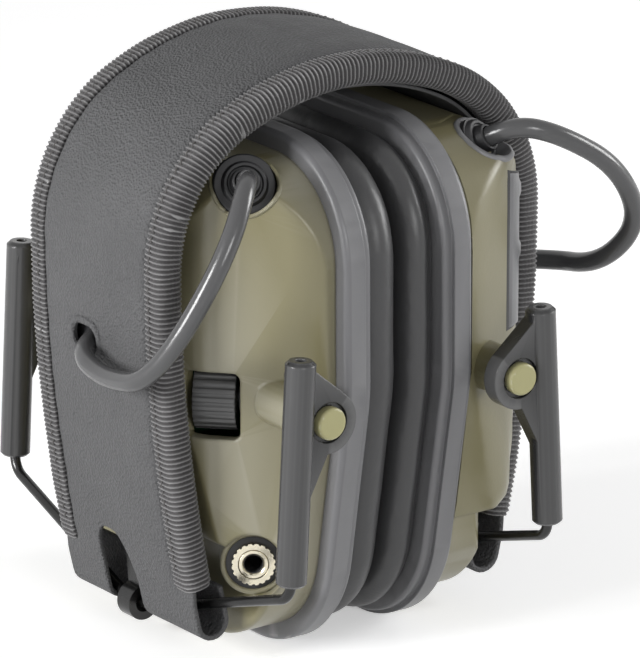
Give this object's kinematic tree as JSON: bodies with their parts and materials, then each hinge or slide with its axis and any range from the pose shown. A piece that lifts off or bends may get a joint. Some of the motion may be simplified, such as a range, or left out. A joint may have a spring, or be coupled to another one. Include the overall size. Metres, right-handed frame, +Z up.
{
  "type": "folding electronic hearing protector",
  "caption": "Folding earmuff hearing protector with padded headband, wire yokes, sliding cups, volume wheel, audio jack and battery door, stored folded.",
  "frame": {"origin": "centre of the footprint on the surface that it stands on, measured without the cable leads", "axes": "+X from the left cup to the right cup, +Y from the front edge of the headband to its rear edge, +Z up"},
  "size_m": [0.1104, 0.0974, 0.113],
  "materials": {
    "olive_shell": "satin moulded, fine texture",
    "grey_plastic": "satin moulded",
    "black_plastic": "semi-gloss moulded",
    "leatherette": "fine pebble grain",
    "binding_tape": "ribbed woven tape",
    "padding": "open foam",
    "cushion_skin": "smooth soft skin",
    "spring_steel": "plain",
    "yoke_steel": "gloss black",
    "bright_metal": "nickel plated",
    "cable_jacket": "smooth",
    "board": "solder mask",
    "cell_wrap": "plain wrap"
  },
  "bodies": {
    "headband": {"headband_cover": "leatherette", "headband_pad": "padding", "headband_spring": "spring_steel", "headband_lining": "binding_tape", "front_binding": "binding_tape", "rear_binding": "binding_tape", "band_cable": "cable_jacket", "left_lead": "cable_jacket", "right_lead": "cable_jacket"},
    "left_end": {"left_hinge_eye": "yoke_steel", "left_eye_rivets": "spring_steel"},
    "left_yoke": {"left_yoke_wire": "yoke_steel"},
    "left_sliders": {"left_front_slider": "black_plastic", "left_rear_slider": "black_plastic"},
    "left_cup": {"left_shell": "olive_shell", "left_rim_plate": "grey_plastic", "left_ear_cushion": "cushion_skin", "left_foam_insert": "padding", "left_speaker": "black_plastic", "left_baffle": "black_plastic", "left_cup_screws": "spring_steel", "left_cable_gland": "cable_jacket", "left_front_stud": "olive_shell", "left_rear_stud": "olive_shell", "volume_control": "black_plastic", "jack_socket": "black_plastic", "jack_nut": "bright_metal", "circuit_board": "board"},
    "right_end": {"right_hinge_eye": "yoke_steel", "right_eye_rivets": "spring_steel"},
    "right_yoke": {"right_yoke_wire": "yoke_steel"},
    "right_sliders": {"right_front_slider": "black_plastic", "right_rear_slider": "black_plastic"},
    "right_cup": {"right_shell": "olive_shell", "right_rim_plate": "grey_plastic", "right_ear_cushion": "cushion_skin", "right_foam_insert": "padding", "right_speaker": "black_plastic", "right_baffle": "black_plastic", "right_cup_screws": "spring_steel", "right_cable_gland": "cable_jacket", "right_front_stud": "olive_shell", "right_rear_stud": "olive_shell", "battery_door": "grey_plastic", "battery_tray": "black_plastic", "batteries": "cell_wrap", "battery_contacts": "spring_steel"},
    "volume_knob": {"volume_wheel": "black_plastic"}
  },
  "joints": [
    {"name": "left_flex", "type": "hinge", "parent": "headband", "child": "left_end", "pos_m": [0, 0, 0.105], "axis": [0, 1, 0], "range_deg": [0, 35]},
    {"name": "left_fold", "type": "hinge", "parent": "left_end", "child": "left_yoke", "pos_m": [-0.0324, 0, 0.0072], "axis": [0, 1, 0], "range_deg": [0, 115], "deforming": ["left_ear_cushion", "left_lead"]},
    {"name": "left_slide", "type": "slide", "parent": "left_yoke", "child": "left_sliders", "axis": [0.0523, 0, 0.9986], "range_m": [0, 0.006]},
    {"name": "left_flip", "type": "hinge", "parent": "left_sliders", "child": "left_cup", "pos_m": [-0.022, 0, 0.0532], "axis": [0, 1, 0], "range_deg": [-150, 0]},
    {"name": "right_flex", "type": "hinge", "parent": "headband", "child": "right_end", "pos_m": [0, 0, 0.105], "axis": [0, -1, 0], "range_deg": [0, 35], "deforming": ["headband_cover", "headband_pad", "headband_spring", "headband_lining", "front_binding", "rear_binding", "band_cable"]},
    {"name": "right_fold", "type": "hinge", "parent": "right_end", "child": "right_yoke", "pos_m": [0.0324, 0, 0.0072], "axis": [0, -1, 0], "range_deg": [0, 115], "deforming": ["right_ear_cushion", "right_lead"]},
    {"name": "right_slide", "type": "slide", "parent": "right_yoke", "child": "right_sliders", "axis": [-0.0523, 0, 0.9986], "range_m": [0, 0.006]},
    {"name": "right_flip", "type": "hinge", "parent": "right_sliders", "child": "right_cup", "pos_m": [0.022, 0, 0.0532], "axis": [0, -1, 0], "range_deg": [-150, 0]},
    {"name": "volume_turn", "type": "hinge", "parent": "left_cup", "child": "volume_knob", "pos_m": [-0.02657, -0.01857, 0.052], "axis": [-0.7071, 0.7071, 0], "range_deg": [0, 270]}
  ],
  "couplings": [
    {"joint": "left_flex", "follows": "left_fold", "ratio": 0.3},
    {"joint": "left_flip", "follows": "left_fold", "ratio": -1.3},
    {"joint": "right_flex", "follows": "right_fold", "ratio": 0.3},
    {"joint": "right_flip", "follows": "right_fold", "ratio": -1.3}
  ]
}
